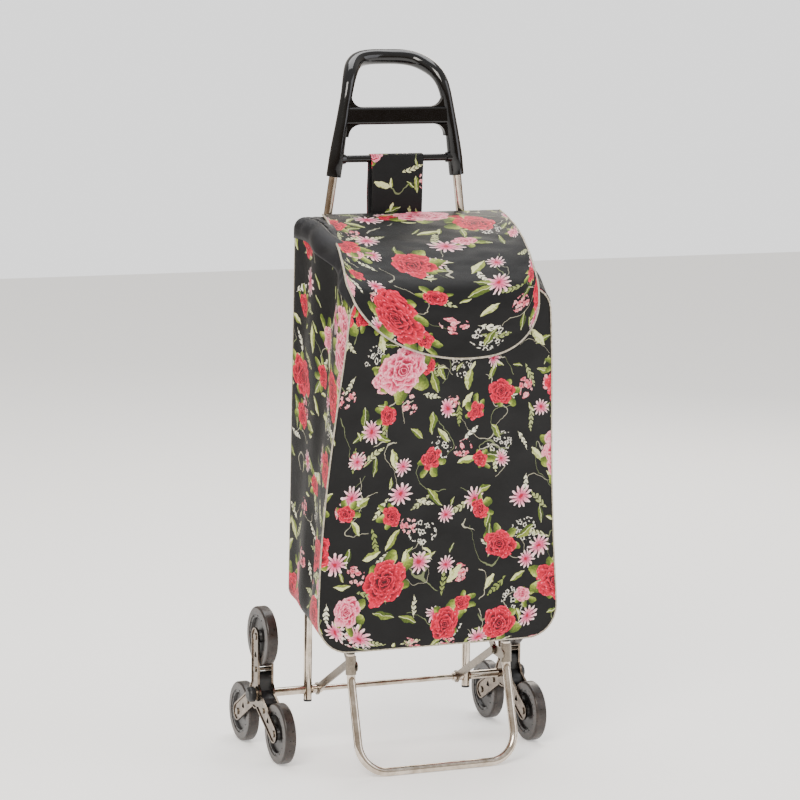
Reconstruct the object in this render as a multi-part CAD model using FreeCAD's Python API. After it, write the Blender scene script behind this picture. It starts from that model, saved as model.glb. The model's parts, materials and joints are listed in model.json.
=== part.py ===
"""Folding shopping trolley on two stair-climbing three-wheel stars.

Millimetres. X is to the right, +Y to the rear and Z up, with the floor at Z = 0.
Everything is laid out from the axle line, where Y = 0, and moved by TO_CENTRE as it is
saved, so that the saved model's origin is under the middle of its box.
Each piece is a separate solid, or a group of equal fasteners, in a STEP file of its own.
"""
import FreeCAD, Part
import math
import os

V = FreeCAD.Vector
SIDES = {"left": -1, "right": 1}

# Whole trolley
HEIGHT = 1000.0
TO_CENTRE = 50.15

# Wheels and stars
WHEEL_R = 43.1
WHEEL_HALF_WIDTH = 8.3
HUB_R = 32.0
STAR_R = 83.8
STAR_X = 194.7
STAR_ARMS = {"top": 90, "front": 210, "rear": 330}
AXLE_R = 4.0
AXLE_Z = WHEEL_R + STAR_R * math.sin(math.radians(30))
AXLE_HALF_LENGTH = 212.0
PLATE_INNER = 9.1
PLATE_T = 1.6
RIM_T = 1.5
PIN_R = 3.0
PIN_FIT = 0.05

# Frame tubes
TUBE_R = 6.0
TUBE_WALL = 1.2
POST_X = 124.8
POST_BOTTOM = 71.0
POST_BEND_Z = 600.0
POST_TOP = V(88.1, -9.9, 878.0)
CROSSBARS = {"lower": 262.0, "upper": 566.0}

# Handle
HANDLE_Y = -8.0
ROD_Z = 848.0
ROD_R = 5.2
ROD_END = 84.8
BAR_Z = (896.0, 921.0)

# Folding platform and stand: pivots as (Y, Z) from the axle line
HINGE = (-34.0, 206.7)
PIVOT_REACH = 55.0
PLATFORM_SLOPE = math.atan2(222.0 - 178.0, 183.0 - 15.0)
PIVOT = (HINGE[0] - PIVOT_REACH * math.cos(PLATFORM_SLOPE),
         HINGE[1] - PIVOT_REACH * math.sin(PLATFORM_SLOPE))
BRACE_END = (-124.0, 152.0)
LEG_JOINT = (-148.5, 150.0)
RAIL_R = 4.5
RAIL_X = 103.0
RAIL_FRONT = -150.0
WIRE_R = 2.5
LEG_X = 119.5
BRACE_X = (108.7, 111.2)
BRACKET_X = (111.5, 113.5)

# Bag and flap
FABRIC = 2.0
BAG_BACK_Y = -15.0
BAG_BACK = {"bottom": (161.0, 222.0), "top": (155.0, 768.0)}
BAG_FRONT = {"bottom": (182.0, 178.0), "top": (149.0, 684.0)}
BAG_FRONT_Y = {"bottom": -183.0, "top": -213.0}
FLAP_T = 2.0
FLAP_GAP = 1.0


def cylinder_x(radius, x0, x1, y, z):
    """A round bar along X."""
    low, high = min(x0, x1), max(x0, x1)
    return Part.makeCylinder(radius, high - low, V(low, y, z), V(1, 0, 0))


def box(x0, x1, y0, y1, z0, z1):
    """A box between two corners."""
    return Part.makeBox(x1 - x0, y1 - y0, z1 - z0, V(x0, y0, z0))


def ring_x(outer, inner, x0, x1, y, z):
    """A round collar along X."""
    return cylinder_x(outer, x0, x1, y, z).cut(cylinder_x(inner, x0, x1, y, z))


def corner_arc(before, corner, after, radius):
    """The arc that rounds one corner, with its first and last points."""
    way_in = (corner - before).normalize()
    way_out = (after - corner).normalize()
    half_turn = way_in.getAngle(way_out) / 2
    run = radius * math.tan(half_turn)
    first, last = corner - way_in * run, corner + way_out * run
    inward = (way_out - way_in).normalize()
    middle = corner + inward * (radius / math.cos(half_turn) - radius)
    return Part.Arc(first, middle, last).toShape(), first, last


def rounded_path(points, radii):
    """An open wire of straight runs joined by tangent arcs."""
    edges, start = [], points[0]
    for before, corner, after, radius in zip(points, points[1:], points[2:], radii):
        arc, first, last = corner_arc(before, corner, after, radius)
        edges += [Part.LineSegment(start, first).toShape(), arc]
        start = last
    edges.append(Part.LineSegment(start, points[-1]).toShape())
    return Part.Wire(edges)


def rounded_outline(points, radii):
    """A closed wire whose corners are rounded where their radius isn't 0."""
    count = len(points)
    corners = []
    for i, (corner, radius) in enumerate(zip(points, radii)):
        if radius:
            corners.append(corner_arc(points[i - 1], corner, points[(i + 1) % count], radius))
        else:
            corners.append((None, corner, corner))
    edges = []
    for i, (arc, _, last) in enumerate(corners):
        if arc:
            edges.append(arc)
        edges.append(Part.LineSegment(last, corners[(i + 1) % count][1]).toShape())
    return Part.Wire(edges)


def rod(points, radii, radius):
    """A round bar that follows a rounded path."""
    section = Part.Wire(Part.makeCircle(radius, points[0], points[1] - points[0]))
    return rounded_path(points, radii).makePipeShell([section], True, False)


def tube(points, radii, radius=TUBE_R, wall=TUBE_WALL):
    """A hollow tube that follows a rounded path."""
    return rod(points, radii, radius).cut(rod(points, radii, radius - wall))


def strap_plate(points, half_width, x0, x1):
    """A flat bar with round ends, in the YZ plane, that visits each (Y, Z) point."""
    plate = cylinder_x(half_width, x0, x1, *points[0])
    for (y0, z0), (y1, z1) in zip(points, points[1:]):
        length = math.hypot(y1 - y0, z1 - z0)
        bar = box(x0, x1, 0, length, -half_width, half_width)
        bar.rotate(V(0, 0, 0), V(1, 0, 0), math.degrees(math.atan2(z1 - z0, y1 - y0)))
        bar.translate(V(0, y0, z0))
        plate = plate.fuse([bar, cylinder_x(half_width, x0, x1, y1, z1)])
    return plate.removeSplitter()


def mirrored(shape):
    """The same piece on the other side of the trolley."""
    return shape.mirror(V(0, 0, 0), V(1, 0, 0))


def on_side(shape, side):
    """A piece made for the right-hand side, or its mirror image for the left."""
    return shape if side == "right" else mirrored(shape)


def both(shapes):
    """A group of separate solids on the right, with their mirror images."""
    return Part.makeCompound([s for shape in shapes for s in (shape, mirrored(shape))])


# ---------------------------------------------------------------- frame

def post_points():
    return [V(POST_X, 0, POST_BOTTOM), V(POST_X, 0, POST_BEND_Z), POST_TOP]


def upright():
    """A frame post: straight, then bent inwards and forwards into the handle."""
    return tube(post_points(), [90.0]).cut(cylinder_x(AXLE_R, 110, 140, 0, AXLE_Z))


def crossbar(height):
    """A tube welded between the posts."""
    radius = 5.0
    bar = ring_x(radius, radius - TUBE_WALL, -POST_X, POST_X, 0, height)
    posts = Part.makeCylinder(TUBE_R, 100, V(POST_X, 0, height - 50))
    return bar.cut([posts, mirrored(posts)])


def post_plugs():
    """The plastic plugs in the lower ends of the posts."""
    plug = Part.makeCylinder(TUBE_R, 3.0, V(POST_X, 0, POST_BOTTOM - 3.0))
    stem = Part.makeCylinder(TUBE_R - TUBE_WALL - 0.05, 6.0, V(POST_X, 0, POST_BOTTOM))
    return both([plug.fuse(stem)])


def axle():
    return cylinder_x(AXLE_R, -AXLE_HALF_LENGTH, AXLE_HALF_LENGTH, 0, AXLE_Z)


def axle_sleeves():
    """Spacers that hold the stars and the braces in place along the axle."""
    outer = ring_x(6.2, AXLE_R + 0.02, POST_X + TUBE_R + 0.3, 181.8, 0, AXLE_Z)
    inner = ring_x(6.2, AXLE_R + 0.02, BRACE_X[1] + 0.3, POST_X - TUBE_R - 0.3, 0, AXLE_Z)
    stop = ring_x(6.2, AXLE_R + 0.02, BRACE_X[0] - 5.0, BRACE_X[0] - 0.3, 0, AXLE_Z)
    return both([outer, inner, stop])


def axle_caps():
    """Domed push-on caps that keep the stars on the axle."""
    inner_face, length, radius = STAR_X + 13.5, 9.5, 11.0
    cap = cylinder_x(radius, inner_face, inner_face + length, 0, AXLE_Z)
    cap = cap.makeFillet(5.0, [e for e in cap.Edges if e.BoundBox.XMin > inner_face + 1
                               and e.BoundBox.XLength < 0.01])
    return both([cap.cut(cylinder_x(AXLE_R, STAR_X, AXLE_HALF_LENGTH, 0, AXLE_Z))])


def hinge_bracket():
    """A clamp on the post with an ear that carries the platform's hinge pin."""
    ear = strap_plate([HINGE, (-9.0, HINGE[1])], 8.0, POST_X - TUBE_R - 2.4, POST_X - TUBE_R)
    clamp = Part.makeCylinder(TUBE_R + 2.0, 16.0, V(POST_X, 0, HINGE[1] - 8.0))
    web = box(POST_X - TUBE_R - 2.4, POST_X - TUBE_R, -9.0, 0, HINGE[1] - 8.0, HINGE[1] + 8.0)
    post = Part.makeCylinder(TUBE_R, 20.0, V(POST_X, 0, HINGE[1] - 10.0))
    body = clamp.fuse([ear, web]).cut(post)
    return body.cut(cylinder_x(PIN_R, 90, 130, *HINGE))


def hinge_pins():
    """The two headed pins that the platform swings on."""
    shank = cylinder_x(PIN_R, RAIL_X - 6.5, POST_X - TUBE_R, *HINGE)
    head = cylinder_x(5.0, POST_X - TUBE_R, POST_X - TUBE_R + 2.0, *HINGE)
    end = cylinder_x(4.6, RAIL_X - 7.0, RAIL_X - 5.0, *HINGE)
    return both([shank.fuse([head, end])])


# ---------------------------------------------------------------- handle

def handle_sections():
    """Centre (X, Y, Z) and radius down the right half of the grip, top first."""
    return [(0, 38.0, 989.3, 10.7), (25, 36.0, 988.8, 10.9), (45, 29.0, 985.0, 11.0),
            (57, 17.5, 978.0, 10.8), (65.5, 5.0, 968.5, 10.0), (71.8, -3.5, 955.0, 9.0),
            (76.0, -7.5, 939.0, 8.3), (79.8, -8.6, 920.0, 8.3), (83.3, -9.2, 900.0, 8.8),
            (86.8, -9.2, 880.0, 9.4), (90.0, -9.0, 860.0, 10.1), (92.7, -8.5, 840.0, 10.5),
            (94.9, -8.0, 823.5, 10.5)]


def grip_arch():
    """The smooth tube of the handle, from one leg over the top to the other."""
    right = handle_sections()
    route = [(-x, y, z, r) for x, y, z, r in reversed(right[1:])] + right
    centres = [V(*section[:3]) for section in route]
    rings = []
    for i, (centre, section) in enumerate(zip(centres, route)):
        ahead = centres[min(i + 1, len(centres) - 1)] - centres[max(i - 1, 0)]
        rings.append(Part.Wire(Part.makeCircle(section[3], centre, ahead)))
    return Part.makeLoft(rings, True, False)


def handle():
    """One moulding: two legs, the arched grip and the bar between the legs."""
    low, high = BAR_Z
    front, back, reach, curve = HANDLE_Y - 7.0, HANDLE_Y + 6.0, 80.0, 17.0
    bar = box(-reach, reach, front, back, low, high)
    bar = bar.makeFillet(4.0, [e for e in bar.Edges if e.BoundBox.XLength > 2 * reach - 1])
    pieces = [bar]
    for base, step in ((low, -1), (high, 1)):
        z0, z1 = sorted((base, base + step * curve))
        inner = 72.5 - 2.0 * step - curve
        web = box(inner, inner + curve + 4.0, front + 2.0, back - 2.0, z0, z1)
        cutter = Part.makeCylinder(curve, 30.0, V(inner, -25, base + step * curve), V(0, 1, 0))
        web = web.cut(cutter)
        pieces += [web, mirrored(web)]
    flare = Part.makeCone(7.0, 9.0, 8.0, V(78.0, HANDLE_Y, ROD_Z), V(1, 0, 0))
    body = grip_arch().fuse(pieces + [flare, mirrored(flare)])
    bore = Part.makeCylinder(TUBE_R + 0.05, 100, V(*post_socket()), POST_TOP - V(*post_socket()))
    stop = box(0, 200, -60, 60, POST_TOP.z + 1.5, 1100)
    bore = bore.cut(stop)
    rod_bore = cylinder_x(ROD_R, -ROD_END, ROD_END, HANDLE_Y, ROD_Z)
    return body.cut([bore, mirrored(bore), rod_bore])


def post_socket():
    """A point of the post's upper run, well below the handle."""
    bend, share = V(POST_X, 0, POST_BEND_Z), 0.75
    return bend + (POST_TOP - bend) * share


def handle_rod():
    """The round bar that the bag's strap hangs on."""
    return cylinder_x(ROD_R, -ROD_END, ROD_END, HANDLE_Y, ROD_Z)


# ---------------------------------------------------------------- platform, stand, braces

def platform_height(y):
    """Height of the platform rails' centre line."""
    return HINGE[1] + (y - HINGE[0]) * math.tan(PLATFORM_SLOPE)


def platform_rail():
    """A bent U of tube with an eye at each rear end."""
    rear, front = V(RAIL_X, *HINGE), V(RAIL_X, RAIL_FRONT, platform_height(RAIL_FRONT))
    points = [rear, front, V(-front.x, front.y, front.z), V(-rear.x, rear.y, rear.z)]
    rail = tube(points, [24.0, 24.0], RAIL_R, 1.0)
    eye = cylinder_x(6.4, RAIL_X - RAIL_R, RAIL_X + RAIL_R, *HINGE)
    bore = cylinder_x(PIN_R + PIN_FIT, -130, 130, *HINGE)
    pivot = cylinder_x(PIN_R, -130, 130, *PIVOT)
    return rail.fuse([eye, mirrored(eye)]).cut([bore, pivot])


def platform_wires():
    """Cross wires welded on top of the rails, which carry the bag."""
    wires = []
    for y in (-52.0, -108.0, -142.0):
        lift = (RAIL_R + WIRE_R) / math.cos(PLATFORM_SLOPE)
        wires.append(cylinder_x(WIRE_R, -RAIL_X - 3, RAIL_X + 3, y, platform_height(y) + lift))
    return Part.makeCompound(wires)


def platform_pins():
    """Pins fixed in the rails, which the stand swings on."""
    shank = cylinder_x(PIN_R, RAIL_X - RAIL_R, BRACKET_X[1], *PIVOT)
    head = cylinder_x(5.0, BRACKET_X[1] + 0.3, BRACKET_X[1] + 2.2, *PIVOT)
    stem = cylinder_x(PIN_R, BRACKET_X[1], BRACKET_X[1] + 2.2, *PIVOT)
    return both([shank.fuse([head, stem])])


def leg_points():
    foot_y, foot_z = -190.3, 5.7
    top, knee = V(LEG_X, -147.3, 168.0), V(LEG_X, -149.5, 133.0)
    return [top, knee, V(LEG_X, foot_y, foot_z)]


def stand_tube():
    """A U-shaped foot: two bent legs and a straight bar that rests on the floor."""
    right = leg_points()
    left = [V(-p.x, p.y, p.z) for p in reversed(right)]
    leg_tube = tube(right + left, [40.0, 41.0, 41.0, 40.0])
    return leg_tube.cut(box(-200, 200, -250, -150, -10, 0))


def stand_bracket():
    """A cranked plate on a sleeve round the leg's top, which carries both pivots."""
    plate = strap_plate([PIVOT, BRACE_END, LEG_JOINT], 7.5, *BRACKET_X)
    top, knee = leg_points()[:2]
    up = (top - knee).normalize()
    base = knee + up * 6.0
    sleeve = Part.makeCylinder(TUBE_R + 1.6, 26.0, base, up)
    leg = Part.makeCylinder(TUBE_R, 60.0, knee - up * 10.0, up)
    body = plate.fuse(sleeve).cut(leg)
    return body.cut(cylinder_x(PIN_R + PIN_FIT, 90, 130, *PIVOT))


def stand_rivets():
    """Rivet heads on the brackets: one over the brace's end, one on each sleeve."""
    over_brace = cylinder_x(4.5, BRACKET_X[1], BRACKET_X[1] + 1.6, *BRACE_END)
    return both([over_brace])


def stand_plugs():
    """Plastic plugs in the upper ends of the stand's legs."""
    top, knee = leg_points()[:2]
    up = (top - knee).normalize()
    plug = Part.makeCylinder(TUBE_R, 2.5, top, up)
    stem = Part.makeCylinder(TUBE_R - TUBE_WALL - 0.05, 8.0, top - up * 8.0, up)
    return both([plug.fuse(stem)])


def brace():
    """A flat bar from an eye on the axle to its pivot on the stand's bracket."""
    bar = strap_plate([(0, AXLE_Z), BRACE_END], 5.5, *BRACE_X)
    bar = bar.fuse([cylinder_x(9.0, *BRACE_X, 0, AXLE_Z), cylinder_x(7.0, *BRACE_X, *BRACE_END)])
    bores = [cylinder_x(AXLE_R + PIN_FIT, 90, 130, 0, AXLE_Z), cylinder_x(PIN_R, 90, 130, *BRACE_END)]
    return bar.cut(bores).removeSplitter()


def brace_rivets():
    """The rivets of the braces' front ends."""
    shank = cylinder_x(PIN_R, BRACE_X[0], BRACE_X[1], *BRACE_END)
    head = cylinder_x(5.0, BRACE_X[0] - 1.6, BRACE_X[0], *BRACE_END)
    return both([shank.fuse(head)])


# ---------------------------------------------------------------- stars and wheels

def arm_point(degrees, radius=STAR_R):
    """(Y, Z) at a distance from the axle along an arm of the star."""
    angle = math.radians(degrees)
    return radius * math.cos(angle), AXLE_Z + radius * math.sin(angle)


def star_outline(half_width, x0, x1):
    """A solid Y with round arm ends and a round middle."""
    arms = [strap_plate([(0, AXLE_Z), arm_point(a)], half_width, x0, x1)
            for a in STAR_ARMS.values()]
    middle = cylinder_x(half_width + 8.0, x0, x1, 0, AXLE_Z)
    return middle.fuse(arms).removeSplitter()


def star_plate(face):
    """A pressed Y plate with a raised rim; face is +1 outside, -1 inside."""
    inner = STAR_X + face * PLATE_INNER
    outer = inner + face * PLATE_T
    rim = outer + face * RIM_T
    plate = star_outline(13.0, min(inner, rim), max(inner, rim))
    hollow = star_outline(11.0, min(outer, rim + face), max(outer, rim + face))
    holes = [cylinder_x(9.0, 160, 230, 0, AXLE_Z)]
    for degrees in STAR_ARMS.values():
        holes.append(cylinder_x(PIN_R, 160, 230, *arm_point(degrees)))
        holes.append(cylinder_x(2.5, 160, 230, *arm_point(degrees, 36.0)))
        holes.append(triangle_hole(degrees))
    return plate.cut([hollow] + holes)


def triangle_hole(degrees):
    """A small triangular window through a plate, half-way along an arm."""
    corners = []
    for turn in (0, 120, 240):
        y, z = arm_point(degrees, 57.0)
        angle = math.radians(degrees + turn)
        corners.append(V(160, y + 6.5 * math.cos(angle), z + 6.5 * math.sin(angle)))
    outline = rounded_outline(corners, [1.5] * 3)
    return Part.Face(outline).extrude(V(70, 0, 0))


def star_core():
    """The plastic Y between the plates, with short arms clear of the wheels."""
    x0, x1 = STAR_X - PLATE_INNER, STAR_X + PLATE_INNER
    arms = [strap_plate([(0, AXLE_Z), arm_point(a, 21.5)], 11.0, x0, x1)
            for a in STAR_ARMS.values()]
    return arms[0].fuse(arms[1:]).removeSplitter().cut(cylinder_x(9.0, 160, 230, 0, AXLE_Z))


def star_bush():
    """The bush that turns on the axle and carries the star."""
    reach = PLATE_INNER + PLATE_T + RIM_T
    return ring_x(9.0, AXLE_R + PIN_FIT, STAR_X - reach, STAR_X + reach, 0, AXLE_Z)


def star_pins():
    """Headed wheel pins at the arm ends, and spacer pins beside the core."""
    face, pins = PLATE_INNER + PLATE_T, []
    for degrees in STAR_ARMS.values():
        for radius, where, head in ((PIN_R, STAR_R, 5.0), (2.5, 36.0, 4.0)):
            point = arm_point(degrees, where)
            pin = cylinder_x(radius, STAR_X - face, STAR_X + face, *point)
            heads = [cylinder_x(head, STAR_X + s * face, STAR_X + s * (face + 1.8), *point)
                     for s in (-1, 1)]
            pins.append(pin.fuse(heads))
    return Part.makeCompound(pins)


def revolved(profile, y, z):
    """A closed (radius, X) outline turned about a line along X."""
    points = [V(x, y + r, z) for r, x in profile]
    face = Part.Face(Part.makePolygon(points + points[:1]))
    return face.revolve(V(0, y, z), V(1, 0, 0), 360)


def tyre(degrees):
    """A rubber ring with a rounded tread."""
    y, z = arm_point(degrees)
    half, shoulder = WHEEL_HALF_WIDTH, 3.0
    ring = ring_x(WHEEL_R, HUB_R, STAR_X - half, STAR_X + half, y, z)
    outer = [e for e in ring.Edges if e.BoundBox.YLength > 2 * WHEEL_R - 0.5]
    return ring.makeFillet(shoulder, outer)


def hub(degrees):
    """A plastic wheel centre: rim, thin web with dimples, and a boss on the pin."""
    y, z = arm_point(degrees)
    half = WHEEL_HALF_WIDTH
    profile = [(PIN_R + PIN_FIT, -half - 0.5), (8.0, -half - 0.5), (9.5, -4.0), (26.0, -4.0),
               (27.5, -half + 0.8), (HUB_R, -half + 0.8), (HUB_R, half - 0.8),
               (27.5, half - 0.8), (26.0, 4.0), (9.5, 4.0), (8.0, half + 0.5),
               (PIN_R + PIN_FIT, half + 0.5)]
    body = revolved([(r, STAR_X + x) for r, x in profile], y, z)
    dimples = []
    for k in range(12):
        angle = math.radians(30 * k)
        spot = (y + 29.8 * math.cos(angle), z + 29.8 * math.sin(angle))
        for side in (-1, 1):
            face = STAR_X + side * (half - 0.8)
            dimples.append(cylinder_x(1.3, face - side * 1.2, face + side, *spot))
    return body.cut(dimples)


# ---------------------------------------------------------------- bag and flap

def front_y(z, inset=0.0):
    """Y of the bag's front at a height."""
    low, high = BAG_FRONT["bottom"][1], BAG_FRONT["top"][1]
    share = (z - low) / (high - low)
    return BAG_FRONT_Y["bottom"] + share * (BAG_FRONT_Y["top"] - BAG_FRONT_Y["bottom"]) + inset


def half_width(end, z):
    """Half of the bag's width at a height, on its back or front plane."""
    (low_x, low_z), (high_x, high_z) = end["bottom"], end["top"]
    return low_x + (z - low_z) / (high_z - low_z) * (high_x - low_x)


def bag_solid(inset, over_top, back_inset, front_inset):
    """The bag's volume, narrowed by inset, between its back and front planes."""
    wires = []
    for end, y_of, radius in ((BAG_BACK, lambda z: BAG_BACK_Y - back_inset, 20.0),
                              (BAG_FRONT, lambda z: front_y(z, front_inset), 45.0)):
        low_z, high_z = end["bottom"][1] + inset, end["top"][1] + over_top
        low_x, high_x = half_width(end, low_z) - inset, half_width(end, high_z) - inset
        points = [V(-low_x, y_of(low_z), low_z), V(low_x, y_of(low_z), low_z),
                  V(high_x, y_of(high_z), high_z), V(-high_x, y_of(high_z), high_z)]
        round_corner = radius - inset
        wires.append(rounded_outline(points, [round_corner, round_corner, 0, 0]))
    return Part.makeLoft(wires, True, True)


def slab(profile, half_width=260.0):
    """A (Y, Z) outline extruded across the trolley."""
    points = [V(-half_width, y, z) for y, z in profile]
    return Part.Face(Part.makePolygon(points + points[:1])).extrude(V(2 * half_width, 0, 0))


def bag_walls():
    """The open bag cut into its five panels, which meet face to face."""
    shell = bag_solid(0, 0, 0, 0).cut(bag_solid(FABRIC, 60.0, 0, 0))
    whole = bag_solid(0, 0, 0, 0)
    back_zone = box(-260, 260, BAG_BACK_Y - FABRIC, 10, 100, 900)
    front_zone = slab([(front_y(100, FABRIC), 100), (front_y(900, FABRIC), 900), (-400, 900),
                       (-400, 100)])
    low_zone = slab([(20, 246), (20, 100), (-260, 100), (-260, 212)])
    ring = shell.cut([back_zone, front_zone])
    sides = ring.cut(low_zone)
    return {"bag_back": whole.common(back_zone), "bag_front": whole.common(front_zone),
            "bag_bottom": ring.common(low_zone),
            "bag_side_left": sides.common(box(-300, 0, -300, 50, 0, 900)),
            "bag_side_right": sides.common(box(0, 300, -300, 50, 0, 900))}


def top_line(y, drop=0.0):
    """Height of the bag's sloping mouth."""
    back, front = (BAG_BACK_Y, BAG_BACK["top"][1]), (BAG_FRONT_Y["top"], BAG_FRONT["top"][1])
    share = (y - back[0]) / (front[0] - back[0])
    return back[1] + share * (front[1] - back[1]) - drop


def bag_collar():
    """The lining band with the drawstring hem, just inside the bag's mouth."""
    gap, depth, rear, fore = 0.3, 30.0, BAG_BACK_Y - FABRIC, front_y(690, FABRIC)
    outer = bag_solid(FABRIC + gap, 0, FABRIC + gap, FABRIC + gap)
    inner = bag_solid(FABRIC + gap + 1.5, 60.0, FABRIC + gap + 1.5, FABRIC + gap + 1.5)
    band = slab([(rear + 5, top_line(rear + 5, 1.0)), (rear + 5, top_line(rear + 5, depth)),
                 (fore - 5, top_line(fore - 5, depth)), (fore - 5, top_line(fore - 5, 1.0))])
    return outer.cut(inner).common(band)


def bottom_board():
    """The stiff board that lies in the bag."""
    (_, back_z), (_, front_z) = BAG_BACK["bottom"], BAG_FRONT["bottom"]
    fall = (back_z - front_z) / (BAG_BACK_Y - BAG_FRONT_Y["bottom"])
    rear, fore, thick = -20.0, -174.0, 3.0
    low = back_z + FABRIC + 0.4
    z_rear, z_fore = low + fall * (rear - BAG_BACK_Y), low + fall * (fore - BAG_BACK_Y)
    return slab([(rear, z_rear), (rear, z_rear + thick), (fore, z_fore + thick), (fore, z_fore)],
                half_width=132.0)


def flap():
    """The lid: over the mouth, then down the front with a rounded hem."""
    rear, hem = BAG_BACK_Y - 1.5, 587.0
    top_front = BAG_FRONT["top"][1]
    fold = front_y(top_front) - FLAP_GAP
    under = [(rear, top_line(rear) + FLAP_GAP + 1.0), (fold, top_line(fold) + FLAP_GAP + 1.0),
             (front_y(hem) - FLAP_GAP, hem)]
    over = [(front_y(hem) - FLAP_GAP - FLAP_T, hem),
            (fold - FLAP_T, top_line(fold) + FLAP_GAP + 2.0),
            (fold - 1.0, top_line(fold) + FLAP_GAP + 1.0 + FLAP_T),
            (rear, top_line(rear) + FLAP_GAP + 1.2 + FLAP_T)]
    sheet = slab(under + over)
    plan = [V(-113, 0, 500), V(161, 0, 500), V(128, -230, 500), V(-157, -230, 500)]
    in_plan = Part.Face(Part.makePolygon(plan + plan[:1])).extrude(V(0, 0, 400))
    hem_line = [V(-172, -240, hem), V(143, -240, hem), V(128, -240, 690), V(200, -240, 850),
                V(-200, -240, 850), V(-157, -240, 690)]
    hem_edge = rounded_outline(hem_line, [70.0, 70.0, 0, 0, 0, 0])
    in_front = Part.Face(hem_edge).extrude(V(0, 240, 0))
    return sheet.common(in_plan).common(in_front)


def strap():
    """The wide fabric loop that hangs the bag on the handle's rod."""
    inner, thick, half_width, low = ROD_R + 0.6, 1.4, 40.0, 745.0
    middle = HANDLE_Y + 0.3
    def loop(radius, x):
        return cylinder_x(radius, -x, x, middle, ROD_Z).fuse(
            [box(-x, x, middle - radius, middle + radius, low, ROD_Z),
             cylinder_x(radius, -x, x, middle, low)])
    return loop(inner + thick, half_width).cut(loop(inner, half_width)).removeSplitter()


def post_loops():
    """Fabric loops that tie the bag's back to the posts."""
    loops = []
    for z in (300.0, 524.0):
        ring = Part.makeCylinder(TUBE_R + 1.9, 26.0, V(POST_X, 0, z))
        tab = box(POST_X - 0.8, POST_X + 0.8, BAG_BACK_Y + 0.1, 0, z, z + 26.0)
        loops.append(ring.fuse(tab).cut(Part.makeCylinder(TUBE_R + 0.4, 26.0, V(POST_X, 0, z))))
    return both(loops)


# ---------------------------------------------------------------- all the pieces

def pieces():
    """Every node's name and shape."""
    parts = {"axle": axle(), "axle_sleeves": axle_sleeves(), "axle_caps": axle_caps(),
             "post_plugs": post_plugs(), "hinge_pins": hinge_pins(), "handle": handle(),
             "handle_rod": handle_rod(), "strap": strap(), "post_loops": post_loops(),
             "bottom_board": bottom_board(), "bag_collar": bag_collar(), "flap": flap(),
             "platform_rail": platform_rail(), "platform_wires": platform_wires(),
             "platform_pins": platform_pins(), "stand_tube": stand_tube(),
             "stand_rivets": stand_rivets(), "stand_plugs": stand_plugs(),
             "brace_rivets": brace_rivets()}
    for name, height in CROSSBARS.items():
        parts["crossbar_" + name] = crossbar(height)
    parts.update(bag_walls())
    for side in SIDES:
        parts["upright_" + side] = on_side(upright(), side)
        parts["hinge_bracket_" + side] = on_side(hinge_bracket(), side)
        parts["stand_bracket_" + side] = on_side(stand_bracket(), side)
        parts["brace_" + side] = on_side(brace(), side)
        parts["star_core_" + side] = on_side(star_core(), side)
        parts["star_bush_" + side] = on_side(star_bush(), side)
        parts["star_plate_outer_" + side] = on_side(star_plate(1), side)
        parts["star_plate_inner_" + side] = on_side(star_plate(-1), side)
        parts["star_pins_" + side] = on_side(star_pins(), side)
        for arm, degrees in STAR_ARMS.items():
            parts["tyre_{}_{}".format(side, arm)] = on_side(tyre(degrees), side)
            parts["hub_{}_{}".format(side, arm)] = on_side(hub(degrees), side)
    return parts


def main():
    os.makedirs("parts", exist_ok=True)
    extent = FreeCAD.BoundBox()
    for name, shape in sorted(pieces().items()):
        shape.translate(V(0, TO_CENTRE, 0))
        extent.add(shape.BoundBox)
        shape.exportStep("parts/{}.step".format(name))
        print(name, len(shape.Solids), shape.isValid(), round(shape.Volume))
    print("box", extent)


main()
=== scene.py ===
"""Folding shopping trolley with a rose-print bag: cloth, trim and finishes around the CAD frame.

Metres, in the frame's own axes: X to the right, +Y to the rear, Z up. The bag is sewn from
a front panel, a back panel and one gusset strip, with corded piping in the seams, a gathered
collar round the mouth and a lined flap. Cloth is laid out as flat rectangles whose UV map is
the cut cloth in metres, so that print and weave keep their real size.
"""
import json
import math

import bmesh
import bpy
from mathutils import Matrix, Vector, noise
from mathutils.geometry import interpolate_bezier


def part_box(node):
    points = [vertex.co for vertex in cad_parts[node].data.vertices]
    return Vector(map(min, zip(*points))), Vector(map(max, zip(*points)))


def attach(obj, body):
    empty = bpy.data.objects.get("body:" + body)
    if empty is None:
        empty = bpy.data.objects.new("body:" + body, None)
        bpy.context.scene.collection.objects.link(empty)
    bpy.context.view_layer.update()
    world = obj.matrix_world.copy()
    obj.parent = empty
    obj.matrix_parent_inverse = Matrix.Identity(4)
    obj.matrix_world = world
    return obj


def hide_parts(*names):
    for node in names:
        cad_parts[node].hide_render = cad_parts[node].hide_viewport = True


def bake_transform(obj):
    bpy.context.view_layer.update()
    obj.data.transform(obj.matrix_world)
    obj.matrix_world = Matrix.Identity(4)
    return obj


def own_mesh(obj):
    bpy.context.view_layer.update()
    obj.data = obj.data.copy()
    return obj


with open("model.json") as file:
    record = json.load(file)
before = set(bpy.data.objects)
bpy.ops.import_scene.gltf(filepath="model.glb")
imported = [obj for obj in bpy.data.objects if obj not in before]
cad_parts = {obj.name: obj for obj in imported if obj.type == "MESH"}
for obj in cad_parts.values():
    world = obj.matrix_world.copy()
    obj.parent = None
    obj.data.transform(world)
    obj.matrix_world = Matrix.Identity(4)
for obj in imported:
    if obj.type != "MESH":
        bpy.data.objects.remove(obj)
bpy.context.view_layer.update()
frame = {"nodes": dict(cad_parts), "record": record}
MM = 0.001

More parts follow.
